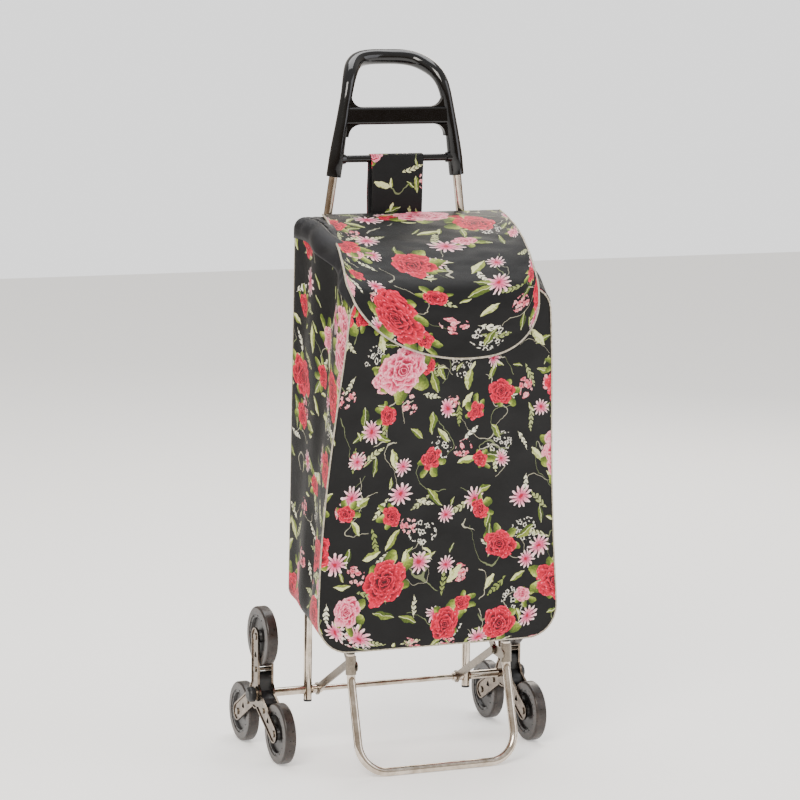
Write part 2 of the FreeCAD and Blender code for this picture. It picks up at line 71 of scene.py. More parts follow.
# Planes and heights taken from the frame
AXLE_Y = sum(corner[1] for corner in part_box("axle")) / 2
POST_X = sum(corner[0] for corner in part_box("hinge_bracket_right")) / 2
ROD_LOW, ROD_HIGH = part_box("handle_rod")
ROD_Y, ROD_Z = (ROD_LOW[1] + ROD_HIGH[1]) / 2, (ROD_LOW[2] + ROD_HIGH[2]) / 2


# ---------------------------------------------------------------- colour and node helpers

def linear(code):
    """An sRGB hex colour as linear RGBA."""
    channels = [int(code[i:i + 2], 16) / 255 for i in (1, 3, 5)]
    return [c / 12.92 if c <= 0.04045 else ((c + 0.055) / 1.055) ** 2.4 for c in channels] + [1.0]


def add(tree, kind, inputs=(), **settings):
    """Add one shader node with its settings, and set or link its inputs in order or by name."""
    made = tree.nodes.new("ShaderNode" + kind)
    for name, value in settings.items():
        setattr(made, name, value)
    pairs = inputs.items() if isinstance(inputs, dict) else enumerate(inputs)
    for key, value in pairs:
        if value is None:
            continue
        if isinstance(value, bpy.types.Node):
            value = value.outputs[0]
        if isinstance(value, bpy.types.NodeSocket):
            tree.links.new(value, made.inputs[key])
        else:
            made.inputs[key].default_value = value
    return made


def calc(tree, operation, *values):
    """A maths node."""
    return add(tree, "Math", values, operation=operation)


def mix(tree, factor, first, second):
    """First colour at factor 0, second colour at factor 1."""
    return add(tree, "MixRGB", [factor, first, second])


def ramp(tree, factor, stops):
    """A colour ramp node with stops of (place, hex colour)."""
    made = add(tree, "ValToRGB", [factor])
    elements = made.color_ramp.elements
    while len(elements) < len(stops):
        elements.new(0.5)
    for element, (place, code) in zip(elements, stops):
        element.position = place
        element.color = linear(code)
    return made


def new_material(name):
    """A material with an empty tree, its Principled shader and its output."""
    made = bpy.data.materials.new(name)
    made.use_nodes = True
    tree = made.node_tree
    tree.nodes.clear()
    shader = add(tree, "BsdfPrincipled")
    add(tree, "OutputMaterial", [shader])
    return made, tree, shader


def set_on(shader, **values):
    """Plain numbers on the shader's own sockets."""
    for name, value in values.items():
        shader.inputs[name.replace("_", " ")].default_value = value


def per_mm(tree, source, size_mm):
    """A coordinate in metres scaled so that one unit is size_mm."""
    return add(tree, "VectorMath", [source, (1000 / size_mm,) * 3], operation="MULTIPLY")


def noise_field(tree, place, scale, detail, rough=0.5):
    """Noise with patches about one unit over scale across."""
    return add(tree, "TexNoise", [place, None, scale, detail, rough])


def mottle(tree, place, size_mm, detail, rough=0.5):
    """Noise with patches about size_mm across, on coordinates in metres."""
    return noise_field(tree, per_mm(tree, place, size_mm), 1.0, detail, rough)


def relief(tree, strength, depth, height):
    """A bump node, its depth in metres."""
    return add(tree, "Bump", {"Strength": strength, "Distance": depth, "Height": height})


def surface(tree, shader, color, rough, bump):
    """Link colour, roughness and bump to the shader."""
    for node, name in ((color, "Base Color"), (rough, "Roughness"), (bump, "Normal")):
        tree.links.new(node.outputs[0], shader.inputs[name])


# ---------------------------------------------------------------- metals

def plated_tube():
    """Chrome-plated steel tube: mirror bright, with faint handling haze and a warm beige colour
    that is a painted reflection of a brown room.
    """
    made, tree, shader = new_material("chrome plated steel tube")
    place = add(tree, "TexCoord").outputs["Object"]
    haze = mottle(tree, place, 18, 5.0, 0.6)
    # Painted reflection: the warm beige base colour stands in for a brown room mirrored in the
    # chrome; the handling haze noise varies it
    tint = ramp(tree, haze, [(0.3, "#A89A8A"), (0.7, "#DDD3C7")])
    rough = add(tree, "MapRange", [haze, 0.3, 0.75, 0.06, 0.2])
    dents = mottle(tree, place, 30, 2.0)
    bump = relief(tree, 0.12, 0.0006, dents)
    surface(tree, shader, tint, rough, bump)
    set_on(shader, Metallic=1.0)
    return made


def zinc_steel():
    """Bright zinc-plated strip and wire: greyer, with drawing lines and dull spots, and a dark
    warm brown colour that is a painted reflection of a brown room.
    """
    made, tree, shader = new_material("zinc plated steel")
    place = add(tree, "TexCoord").outputs["Object"]
    spangle = add(tree, "TexVoronoi", [per_mm(tree, place, 5)], feature="F1")
    cloud = mottle(tree, place, 12, 6.0, 0.65)
    mixed = mix(tree, 0.25, cloud, spangle)
    # Painted reflection: the dark warm brown base colour stands in for a brown room mirrored in
    # the zinc; spangle and cloud vary it
    tint = ramp(tree, mixed, [(0.25, "#5A5248"), (0.75, "#9A9083")])
    rough = add(tree, "MapRange", [cloud, 0.25, 0.8, 0.22, 0.42])
    fine = mottle(tree, place, 0.9, 3.0)
    bump = relief(tree, 0.12, 0.0002, fine)
    surface(tree, shader, tint, rough, bump)
    set_on(shader, Metallic=1.0)
    return made


def pressed_plate():
    """Plated pressed sheet of the stars: dark warm brown colour painted in for the reflection of
    a brown room and for shade, softly wavy from the press.
    """
    made, tree, shader = new_material("plated pressed sheet with painted reflection")
    place = add(tree, "TexCoord").outputs["Object"]
    wave = mottle(tree, place, 26, 2.0, 0.4)
    stain = mottle(tree, place, 9, 6.0, 0.7)
    # Painted reflection and painted shade: the dark warm brown base colour stands in for a brown
    # room mirrored in the plate and for shadow; the stain noise varies it
    tint = ramp(tree, stain, [(0.25, "#4A423A"), (0.55, "#7C7064"), (0.8, "#AEA294")])
    rough = add(tree, "MapRange", [stain, 0.3, 0.8, 0.12, 0.3])
    bump = relief(tree, 0.25, 0.001, wave)
    surface(tree, shader, tint, rough, bump)
    set_on(shader, Metallic=1.0)
    return made


# ---------------------------------------------------------------- plastics and rubber

def polished_handle():
    """High-gloss black ABS from a polished mould: deep black, faint sink waves and dust."""
    made, tree, shader = new_material("gloss black ABS")
    place = add(tree, "TexCoord").outputs["Object"]
    sink = mottle(tree, place, 35, 2.0)
    smear = mottle(tree, place, 14, 7.0, 0.7)
    tint = ramp(tree, smear, [(0.35, "#050506"), (0.8, "#0C0C0E")])
    rough = add(tree, "MapRange", [smear, 0.35, 0.85, 0.06, 0.15])
    bump = relief(tree, 0.1, 0.001, sink)
    surface(tree, shader, tint, rough, bump)
    set_on(shader, IOR=1.5)
    return made


def satin_plastic(name, dark, light, low, high):
    """Moulded polypropylene with a fine spark-eroded grain and rubbed lighter spots."""
    made, tree, shader = new_material(name)
    place = add(tree, "TexCoord").outputs["Object"]
    grain = mottle(tree, place, 0.8, 4.0)
    cloud = mottle(tree, place, 11, 5.0, 0.6)
    tint = ramp(tree, cloud, [(0.3, dark), (0.75, light)])
    rough = add(tree, "MapRange", [cloud, 0.3, 0.8, low, high])
    bump = relief(tree, 0.18, 0.0002, grain)
    surface(tree, shader, tint, rough, bump)
    set_on(shader, IOR=1.49)
    return made


def wheel_rubber():
    """Grey-brown thermoplastic rubber, a little translucent, with scuffs from the floor."""
    made, tree, shader = new_material("thermoplastic rubber tyre")
    place = add(tree, "TexCoord").outputs["Object"]
    scuff = mottle(tree, place, 5, 8.0, 0.75)
    cloud = mottle(tree, place, 24, 3.0)
    mixed = mix(tree, 0.5, scuff, cloud)
    tint = ramp(tree, mixed, [(0.32, "#171311"), (0.52, "#2C2522"), (0.72, "#4A403A")])
    rough = add(tree, "MapRange", [scuff, 0.3, 0.8, 0.22, 0.5])
    bump = relief(tree, 0.3, 0.0003, scuff)
    surface(tree, shader, tint, rough, bump)
    set_on(shader, IOR=1.5, Subsurface_Weight=0.08, Subsurface_Scale=0.003)
    return made


# ---------------------------------------------------------------- the print

def new_group(name, inputs, outputs):
    """An empty node group with float or colour sockets, and its two end nodes."""
    group = bpy.data.node_groups.new(name, "ShaderNodeTree")
    for way, sockets in (("INPUT", inputs), ("OUTPUT", outputs)):
        for label, kind in sockets:
            group.interface.new_socket(label, in_out=way, socket_type="NodeSocket" + kind)
    start, end = group.nodes.new("NodeGroupInput"), group.nodes.new("NodeGroupOutput")
    return group, start, end


def scatter_group():
    """Scatter stamps over the cloth: gives each point its place in the nearest stamp."""
    group, start, end = new_group(
        "print scatter",
        [("Cloth", "Vector"), ("Cell", "Float"), ("Shift", "Vector"), ("Jitter", "Float")],
        [("Radius", "Float"), ("Angle", "Float"), ("Across", "Float"), ("Along", "Float"),
         ("Pick", "Float"), ("Shade", "Float")])
    moved = add(group, "VectorMath", [start.outputs["Cloth"], start.outputs["Shift"]])
    scaled = add(group, "VectorMath", [moved, start.outputs["Cell"]], operation="DIVIDE")
    cells = add(group, "TexVoronoi", {"Vector": scaled, "Scale": 1.0,
                                      "Randomness": start.outputs["Jitter"]},
                voronoi_dimensions="2D")
    offset = add(group, "VectorMath", [scaled, cells.outputs["Position"]], operation="SUBTRACT")
    back = add(group, "VectorMath", [offset, start.outputs["Cell"]], operation="MULTIPLY")
    draws = add(group, "SeparateColor", [cells.outputs["Color"]])
    turn = calc(group, "MULTIPLY", draws.outputs[0], 2 * math.pi)
    turned = add(group, "VectorRotate", {"Vector": back, "Angle": turn}, rotation_type="Z_AXIS")
    oval = add(group, "VectorMath", [turned, (1.16, 0.94, 1.0)], operation="MULTIPLY")
    axes = add(group, "SeparateXYZ", [oval])
    radius = add(group, "VectorMath", [oval], operation="LENGTH")
    angle = calc(group, "ARCTAN2", axes.outputs[1], axes.outputs[0])
    results = [radius.outputs["Value"], angle, axes.outputs[0], axes.outputs[1],
               draws.outputs[1], draws.outputs[2]]
    for value, socket in zip(results, end.inputs):
        group.links.new(value.outputs[0] if isinstance(value, bpy.types.Node) else value, socket)
    return group


def rose_group():
    """A full rose seen from above: rings of loose petals, dark in the throat, pale at the lip."""
    group, start, end = new_group(
        "print rose", [("Radius", "Float"), ("Angle", "Float"), ("Size", "Float"),
                       ("Tone", "Float"), ("Brush", "Vector"), ("Grain", "Float")],
        [("Color", "Color"), ("Mask", "Float")])
    color, outer = None, None
    rings = ((1.0, 5, 0.0, (0.5, 0.2, 0.1)), (0.84, 6, 0.7, (0.2, -0.7, 0.3)),
             (0.68, 5, 1.9, (-0.8, 0.3, 0.2)), (0.51, 4, 0.4, (0.3, 0.5, -0.9)),
             (0.36, 3, 1.2, (-0.4, -0.6, 0.8)), (0.22, 3, 2.2, (0.9, -0.2, -0.5)),
             (0.11, 2, 0.3, (0.3, 0.3, 0.3)))
    for share, lobes, phase, lean in rings:
        swing = calc(group, "MULTIPLY_ADD", start.outputs["Angle"], lobes / 2, phase)
        wave = calc(group, "ABSOLUTE", calc(group, "SINE", swing))
        lobe = calc(group, "POWER", wave, 0.5)
        lip = calc(group, "MULTIPLY_ADD", lobe, 0.26 * share, 0.76 * share)
        edge = calc(group, "MULTIPLY", lip, start.outputs["Size"])
        pull = add(group, "VectorMath", [start.outputs["Brush"], lean], operation="DOT_PRODUCT")
        drag = calc(group, "MULTIPLY_ADD", pull.outputs["Value"], 0.8, 1.0)
        loose = calc(group, "MULTIPLY", edge, drag)
        reach = calc(group, "DIVIDE", start.outputs["Radius"], loose)
        wobble = calc(group, "MULTIPLY_ADD", start.outputs["Grain"], 0.5, reach)
        near = add(group, "MapRange", [wobble, 0.66, 1.1, 0.0, 1.0])
        hot = ramp(group, near, [(0.0, "#430210"), (0.25, "#8A0520"), (0.5, "#C20A2E"),
                                 (0.8, "#DE2149"), (0.91, "#F07A92"), (1.0, "#FBC6CA")])
        pale = ramp(group, near, [(0.0, "#8C0F30"), (0.25, "#CC3A60"), (0.5, "#E87A94"),
                                  (0.8, "#F3AEB9"), (0.92, "#FBDAD6"), (1.0, "#FFF2EB")])
        petal = mix(group, start.outputs["Tone"], hot, pale)
        mask = calc(group, "LESS_THAN", reach, 1.0)
        color = petal if color is None else mix(group, mask, color, petal)
        outer = outer or mask
    group.links.new(color.outputs[0], end.inputs[0])
    group.links.new(outer.outputs[0], end.inputs[1])
    return group


def lobed_mask(tree, radius, angle, size, lobes, floor, sharp):
    """1 inside a flower-like outline with that many lobes."""
    half = calc(tree, "MULTIPLY", angle, lobes / 2)
    wave = calc(tree, "ABSOLUTE", calc(tree, "COSINE", half))
    shape = calc(tree, "POWER", wave, sharp)
    reach = calc(tree, "MULTIPLY_ADD", shape, 1 - floor, floor)
    limit = calc(tree, "MULTIPLY", reach, size)
    return calc(tree, "LESS_THAN", radius, limit)


def overlap(tree, first, *others):
    """1 where every mask is 1."""
    for other in others:
        first = calc(tree, "MULTIPLY", first, other)
    return first


def rose_print(tree, cloth):
    """The whole print, in cloth millimetres: black ground, sprigs, leaves, daisies, roses."""
    scatter, rose = scatter_group(), rose_group()
    drift = noise_field(tree, cloth, 0.075, 2.0)
    centred = add(tree, "VectorMath", [drift.outputs["Color"], (0.5, 0.5, 0.5)],
                  operation="SUBTRACT")
    strokes = add(tree, "VectorMath", [centred, (9.0, 9.0, 0.0)], operation="MULTIPLY")
    drawn = add(tree, "VectorMath", [cloth, strokes])
    grain = noise_field(tree, cloth, 0.34, 3.0)
    grain_mid = calc(tree, "ADD", grain, -0.5)
    brush = noise_field(tree, cloth, 0.085, 1.5)
    brush_mid = add(tree, "VectorMath", [brush.outputs["Color"], (0.5, 0.5, 0.5)],
                    operation="SUBTRACT")
    ground = noise_field(tree, cloth, 0.02, 3.0)
    color = ramp(tree, ground, [(0.3, "#030304"), (0.7, "#060607")])

    def stamps(cell, shift, jitter, share):
        """Stamps one cell apart, and a mask that keeps this share of them."""
        made = add(tree, "Group", node_tree=scatter)
        tree.links.new(drawn.outputs[0], made.inputs[0])
        for index, value in ((1, cell), (2, shift), (3, jitter)):
            made.inputs[index].default_value = value
        return made, calc(tree, "LESS_THAN", made.outputs["Pick"], share)

    # Thin stems: the level lines of a slow noise
    for scale, level, code in ((0.010, 0.47, "#6B7350"), (0.013, 0.57, "#A9A590")):
        field = noise_field(tree, drawn, scale, 1.0)
        off = calc(tree, "ABSOLUTE", calc(tree, "ADD", field, -level))
        line = calc(tree, "LESS_THAN", off, 0.0024)
        broken = noise_field(tree, cloth, 0.019, 0.0)
        kept = calc(tree, "GREATER_THAN", broken, 0.52)
        color = mix(tree, overlap(tree, line, kept), color, linear(code))

    # White pen-drawn sprays: rings and dots inside round clearings
    spray, chosen = stamps(118.0, (71, 333, 0), 0.6, 0.6)
    clearing = calc(tree, "LESS_THAN", spray.outputs[0], 19.0)
    for cell, shift, size in ((11.0, (5, 61, 0), 3.6), (7.0, (90, 12, 0), 1.3)):
        spot, kept = stamps(cell, shift, 0.8, 0.8)
        blob = lobed_mask(tree, spot.outputs[0], spot.outputs[1], size, 5, 0.55, 0.7)
        hollow = calc(tree, "GREATER_THAN", spot.outputs[0], size * 0.52)
        pen = overlap(tree, blob, hollow) if size > 2 else overlap(tree, blob, kept)
        mask = overlap(tree, pen, clearing, chosen)
        color = mix(tree, mask, color, linear("#D8D4C8"))

    # Sprigs: leaflets in pairs along a stem
    for cell, shift, length, width, codes in (
            (58.0, (310, 40, 0), 17.0, 5.2, ("#7D8B45", "#D3D5A4")),
            (72.0, (45, 520, 0), 14.0, 4.4, ("#C9C9A2", "#F0EDD8"))):
        sprig, chosen = stamps(cell, shift, 0.6, 0.55)
        off = calc(tree, "ABSOLUTE", sprig.outputs["Across"])
        slant = calc(tree, "MULTIPLY_ADD", off, -0.9, sprig.outputs["Along"])
        beat = calc(tree, "SINE", calc(tree, "MULTIPLY", slant, math.pi / 6.2))
        leaflet = calc(tree, "POWER", calc(tree, "ABSOLUTE", beat), 0.62)
        along = calc(tree, "MULTIPLY", sprig.outputs["Along"], 1 / length)
        bow = calc(tree, "MULTIPLY", along, along)
        taper = calc(tree, "MAXIMUM", calc(tree, "MULTIPLY_ADD", bow, -width, width), 0.0)
        # The leaflet's outline runs from the stem outwards, widest half-way
        share = calc(tree, "DIVIDE", off, taper)
        belly = calc(tree, "MULTIPLY", calc(tree, "MULTIPLY_ADD", share, -1.0, 1.0), share)
        full = calc(tree, "MULTIPLY_ADD", belly, -1.35, 0.98)
        inside = calc(tree, "GREATER_THAN", leaflet, full)
        within = calc(tree, "LESS_THAN", off, taper)
        stem = calc(tree, "LESS_THAN", off, 0.35)
        shape = calc(tree, "MAXIMUM", overlap(tree, inside, within),
                     overlap(tree, stem, within))
        ink = mix(tree, sprig.outputs["Shade"], linear(codes[0]), linear(codes[1]))
        color = mix(tree, overlap(tree, shape, chosen), color, ink)

    # Bunches of small blossoms
    bunch, chosen = stamps(82.0, (205, 77, 0), 0.6, 0.55)
    clearing = calc(tree, "LESS_THAN", bunch.outputs[0], 13.5)
    for cell, shift, size, codes in ((9.5, (311, 40, 0), 4.3, ("#B3132F", "#F08E9C")),
                                     (8.0, (57, 910, 0), 2.7, ("#E24A66", "#F9D3CE"))):
        spot, kept = stamps(cell, shift, 0.75, 0.62)
        blob = lobed_mask(tree, spot.outputs[0], spot.outputs[1], size, 5, 0.6, 0.6)
        fade = calc(tree, "MULTIPLY_ADD", spot.outputs[0], 0.9 / size, grain_mid)
        ink = mix(tree, fade, linear(codes[0]), linear(codes[1]))
        mask = overlap(tree, overlap(tree, blob, kept),
                          overlap(tree, clearing, chosen))
        color = mix(tree, mask, color, ink)

    # Single leaves: pointed ovals, one half darker, with a pale midrib
    for cell, shift, length, width, share in ((41.0, (19, 77, 0), 12.0, 4.8, 0.34),
                                              (53.0, (410, 8, 0), 15.0, 6.2, 0.34),
                                              (31.0, (95, 640, 0), 7.0, 2.6, 0.30)):
        leaf, chosen = stamps(cell, shift, 0.55, share)
        along = calc(tree, "MULTIPLY", leaf.outputs["Along"], 1 / length)
        bow = calc(tree, "MULTIPLY", along, along)
        side = calc(tree, "MAXIMUM", calc(tree, "MULTIPLY_ADD", bow, -width, width), 0.0)
        off = calc(tree, "ABSOLUTE", leaf.outputs["Across"])
        inside = calc(tree, "LESS_THAN", off, side)
        split = calc(tree, "GREATER_THAN", leaf.outputs["Across"], 0.0)
        half_tone = calc(tree, "MULTIPLY_ADD", split, 0.35, leaf.outputs["Shade"])
        mottled = calc(tree, "MULTIPLY_ADD", grain_mid, 0.9, half_tone)
        ink = ramp(tree, mottled, [(0.0, "#2A3710"), (0.4, "#566820"), (0.8, "#909B45"),
                                   (1.0, "#D3D69A")])
        rib = calc(tree, "LESS_THAN", off, 0.4)
        ink = mix(tree, rib, ink, linear("#D9DBA8"))
        color = mix(tree, overlap(tree, inside, chosen), color, ink)

    # Daisies: pointed petals round a dark eye
    for cell, shift, size, share in ((92.0, (140, 260, 0), 17.5, 0.46),
                                     (71.0, (520, 33, 0), 13.0, 0.30)):
        spot, chosen = stamps(cell, shift, 0.6, share)
        petals = lobed_mask(tree, spot.outputs[0], spot.outputs[1], size, 12, 0.3, 1.25)
        fade = add(tree, "MapRange", [spot.outputs[0], 1.0, size, 0.0, 1.0])
        mottled = calc(tree, "MULTIPLY_ADD", grain_mid, 0.7, fade)
        ink = ramp(tree, mottled, [(0.0, "#A01A42"), (0.25, "#D65580"), (0.55, "#E994AA"),
                                   (0.8, "#F7CBD0"), (1.0, "#FDECE8")])
        eye = calc(tree, "LESS_THAN", spot.outputs[0], size * 0.15)
        ink = mix(tree, eye, ink, linear("#A3152F"))
        color = mix(tree, overlap(tree, petals, chosen), color, ink)

    # Roses on their leaves: small ones first, the large ones on top
    for cell, shift, low, high, keep, leaf_reach in (
            (66.0, (230, 410, 0), 11.0, 16.0, 0.46, 1.75),
            (104.0, (33, 905, 0), 20.0, 28.0, 0.62, 1.5),
            (138.0, (612, 205, 0), 27.0, 37.0, 0.55, 1.42)):
        spot, chosen = stamps(cell, shift, 0.6, keep)
        size = add(tree, "MapRange", [spot.outputs["Shade"], 0.0, 1.0, low, high])
        lean = calc(tree, "MULTIPLY_ADD", spot.outputs["Shade"], 19.0, spot.outputs["Angle"])
        uneven = calc(tree, "MULTIPLY_ADD", calc(tree, "SINE", lean), 0.3, 0.76)
        reach = calc(tree, "MULTIPLY", calc(tree, "MULTIPLY", size, leaf_reach), uneven)
        leaves = lobed_mask(tree, spot.outputs[0], spot.outputs[1], reach, 7, 0.3, 0.85)
        turn = calc(tree, "MULTIPLY", spot.outputs[1], 3.5)
        tone = calc(tree, "MULTIPLY_ADD", grain_mid, 1.6, calc(tree, "SINE", turn))
        green = ramp(tree, add(tree, "MapRange", [tone, -1.1, 1.2, 0.0, 1.0]),
                     [(0.0, "#28350F"), (0.4, "#566820"), (0.7, "#8E9C3E"), (1.0, "#CDD08C")])
        color = mix(tree, overlap(tree, leaves, chosen), color, green)
        swap = calc(tree, "GREATER_THAN", spot.outputs["Pick"], keep * 0.62)
        flower = add(tree, "Group", node_tree=rose)
        links = (spot.outputs["Radius"], spot.outputs["Angle"], size.outputs[0],
                 swap.outputs[0], brush_mid.outputs[0], grain_mid.outputs[0])
        for value, socket in zip(links, flower.inputs):
            tree.links.new(value, socket)
        mask = overlap(tree, flower.outputs["Mask"], chosen)
        color = mix(tree, mask, color, flower.outputs["Color"])
    return color


# ---------------------------------------------------------------- cloths

def weave_bump(tree, cloth, strength, soft_folds):
    """Plain weave, drawn at 1.1 mm a thread pair so that it shows, over soft puckers."""
    threads = overlap(tree, *[add(tree, "TexWave", {"Vector": cloth, "Scale": 0.29,
                                                    "Distortion": 0.4}, bands_direction=way)
                              for way in ("X", "Y")])
    pucker = noise_field(tree, cloth, 0.02, 3.0)
    fold = relief(tree, soft_folds, 0.004, pucker)
    return add(tree, "Bump", {"Strength": strength, "Distance": 0.0003,
                              "Height": threads, "Normal": fold.outputs[0]})


def printed_polyester():
    """Black woven polyester, pigment printed: slight sheen, ink a little flatter than cloth."""
    made, tree, shader = new_material("printed woven polyester")
    cloth = per_mm(tree, add(tree, "UVMap", uv_map="cloth"), 1)
    color = rose_print(tree, cloth)
    fibre = noise_field(tree, cloth, 0.9, 2.0)
    worn = add(tree, "MapRange", [fibre, 0.3, 0.75, 0.82, 1.1])
    shaded = add(tree, "VectorMath", [color, worn], operation="MULTIPLY")
    rough = add(tree, "MapRange", [fibre, 0.3, 0.8, 0.42, 0.58])
    surface(tree, shader, shaded, rough, weave_bump(tree, cloth, 0.35, 0.35))
    set_on(shader, Sheen_Weight=0.01, Sheen_Roughness=0.4, Specular_IOR_Level=0.26)
    return made


def plain_polyester(name, dark, light):
    """Unprinted woven polyester for lining and webbing."""
    made, tree, shader = new_material(name)
    cloth = per_mm(tree, add(tree, "UVMap", uv_map="cloth"), 1)
    cloud = noise_field(tree, cloth, 0.04, 6.0)
    tint = ramp(tree, cloud, [(0.3, dark), (0.75, light)])
    rough = add(tree, "MapRange", [cloud, 0.3, 0.8, 0.45, 0.62])
    surface(tree, shader, tint, rough, weave_bump(tree, cloth, 0.5, 0.25))
    set_on(shader, Sheen_Weight=0.05, Sheen_Roughness=0.4, Specular_IOR_Level=0.4)
    return made


def piping_vinyl():
    """Ivory vinyl wrapped round a cord: semi-gloss, with a twisted pucker along it."""
    made, tree, shader = new_material("ivory vinyl piping")
    place = add(tree, "TexCoord").outputs["Object"]
    pucker = mottle(tree, place, 3.5, 3.0)
    tint = ramp(tree, pucker, [(0.3, "#857C6D"), (0.6, "#B5AC9B"), (0.85, "#D8D0C1")])
    rough = add(tree, "MapRange", [pucker, 0.3, 0.8, 0.3, 0.5])
    bump = relief(tree, 0.4, 0.0005, pucker)
    surface(tree, shader, tint, rough, bump)
    return made


MATERIALS = {
    "chrome_tube": plated_tube(),
    "zinc_steel": zinc_steel(),
    "pressed_steel": pressed_plate(),
    "gloss_black": polished_handle(),
    "black_plastic": satin_plastic("black polypropylene", "#0F0F10", "#1C1C1F", 0.34, 0.5),
    "hub_plastic": satin_plastic("wheel centre polypropylene", "#141314", "#2A2726", 0.28, 0.46),
    "tyre_rubber": wheel_rubber(),
    "printed_fabric": printed_polyester(),
    "lining_fabric": plain_polyester("black lining polyester", "#060609", "#0E0D14"),
    "board_plastic": satin_plastic("black polypropylene sheet", "#0D0D0E", "#161618", 0.4, 0.55),
}
PIPING = piping_vinyl()


def paint_frame():
    """Give every CAD node the finish of its material slot."""
    slots = {part["node"]: part["material_slot"] for part in frame["record"]["subparts"]}
    for name, node in frame["nodes"].items():
        for index in range(len(node.material_slots)):
            node.material_slots[index].material = MATERIALS[slots[name]]


# ---------------------------------------------------------------- making pieces

def mesh_from(work, name):
    """The bmesh as mesh data."""
    data = bpy.data.meshes.new(name)
    work.to_mesh(data)
    work.free()
    return data


def finish_mesh(name, mesh_data, materials):
    """A smooth-shaded object at the origin with its materials."""
    for polygon in mesh_data.polygons:
        polygon.use_smooth = True
    made = bpy.data.objects.new(name, mesh_data)
    bpy.context.scene.collection.objects.link(made)
    for material in materials:
        mesh_data.materials.append(material)
    return made


def cloth(name, columns, rows, place, size, materials=None, thick=0.9 * MM, offset=-1.0,
          flip=False):
    """A cut rectangle of cloth, laid out as a grid and carried to place(u, v).

    size is the cut's width and height, then where it starts on the printed cloth, in metres.
    """
    width, height, start_u, start_v = size
    work = bmesh.new()
    bmesh.ops.create_grid(work, x_segments=columns, y_segments=rows, size=0.5)
    layer = work.loops.layers.uv.new("cloth")
    for face in work.faces:
        for loop in face.loops:
            u, v = loop.vert.co.x + 0.5, loop.vert.co.y + 0.5
            loop[layer].uv = (u * width + start_u, v * height + start_v)
    for vertex in work.verts:
        vertex.co = place(vertex.co.x + 0.5, vertex.co.y + 0.5)
    if flip:
        bmesh.ops.reverse_faces(work, faces=work.faces)
    both = materials or [MATERIALS["printed_fabric"], MATERIALS["lining_fabric"]]
    made = finish_mesh(name, mesh_from(work, name), both)
    wall = made.modifiers.new("cloth thickness", "SOLIDIFY")
    wall.thickness, wall.offset = thick, offset
    wall.material_offset = 1 if len(both) > 1 else 0
    return made


def cord_trim(name, points, radius, material, closed=False):
    """A round trim that follows a row of points."""
    curve = bpy.data.curves.new(name, "CURVE")
    curve.dimensions = "3D"
    spline = curve.splines.new("POLY")
    spline.points.add(len(points) - 1)
    for target, point in zip(spline.points, points):
        target.co = (*point, 1.0)
    spline.use_cyclic_u = closed
    curve.bevel_depth, curve.bevel_resolution = radius, 3
    curve.use_fill_caps = not closed
    source = bpy.data.objects.new(name, curve)
    bpy.context.scene.collection.objects.link(source)
    bpy.context.view_layer.update()
    mesh_data = bpy.data.meshes.new_from_object(source.evaluated_get(
        bpy.context.evaluated_depsgraph_get()))
    bpy.data.objects.remove(source)
    mesh_data.materials.clear()
    return finish_mesh(name, mesh_data, [material])


def smooth(low, high, value):
    """0 below low, 1 above high, eased between."""
    t = min(max((value - low) / (high - low), 0.0), 1.0)
    return t * t * (3 - 2 * t)


def ripple(x, y, z, seed, size):
    """Smooth seeded noise from -1 to 1, about size metres a wave."""
    return noise.noise(Vector((x / size, y / size, z / size)) + Vector((seed, 3.1 * seed, 0)))


# The bag's outline on its back and front planes: half width at a height, in millimetres
BACK = {"low": 222.0, "high": 766.0, "low_r": 20.0, "high_r": 14.0}
FRONT = {"low": 179.0, "high": 682.0, "low_r": 45.0, "high_r": 36.0}
ARC_STEPS, SIDE_STEPS, BASE_STEPS = 8, 64, 40
BACK_SEAM_Y = -15.2
FLAP_HINGE_Y, FLAP_HINGE_Z = -16.0, 771.0


def back_width(z):
    """Half the back's width at a height."""
    return 161.0 - 6.0 * (z - 222.0) / 546.0


def front_width(z):
    """Half the front's width at a height."""
    return 182.0 - 31.0 * max((z - 225.0) / 425.0, 0.0) ** 1.25


def outline_side(spec, width):
    """(half width, height) up one side: bottom corner, side, top corner."""
    points = []
    low_x, r = width(spec["low"]), spec["low_r"]
    for i in range(ARC_STEPS):
        angle = math.pi / 2 * i / ARC_STEPS
        points.append((low_x - r + r * math.sin(angle), spec["low"] + r - r * math.cos(angle)))
    z0, z1 = spec["low"] + r, spec["high"] - spec["high_r"]
    for i in range(SIDE_STEPS):
        z = z0 + (z1 - z0) * i / SIDE_STEPS
        points.append((width(z), z))
    x1, r = width(z1), spec["high_r"]
    for i in range(ARC_STEPS + 1):
        angle = math.pi / 2 * i / ARC_STEPS
        points.append((x1 - r + r * math.cos(angle), z1 + r * math.sin(angle)))
    return points


BACK_SIDE = outline_side(BACK, back_width)
FRONT_SIDE = outline_side(FRONT, front_width)


def front_depth(z):
    """How far the front seam stands forward of the axle line at a height, in millimetres."""
    return (183.0 - 6.0 * math.exp(-((z - 315.0) / 95.0) ** 2)
            + 27.0 * smooth(390.0, 690.0, z))


def in_frame(x, y, z):
    """Millimetres from the axle line to the frame's metres."""
    return Vector((x * MM, y * MM + AXLE_Y, z * MM))


def front_point(x, z):
    """A point of the sewn front edge."""
    return in_frame(x, -front_depth(z), z)


def sample(points, share):
    """A point part-way along a list, by index."""
    place = min(max(share, 0.0), 1.0) * (len(points) - 1)
    i = min(int(place), len(points) - 2)
    t = place - i
    return tuple(a + (b - a) * t for a, b in zip(points[i], points[i + 1]))


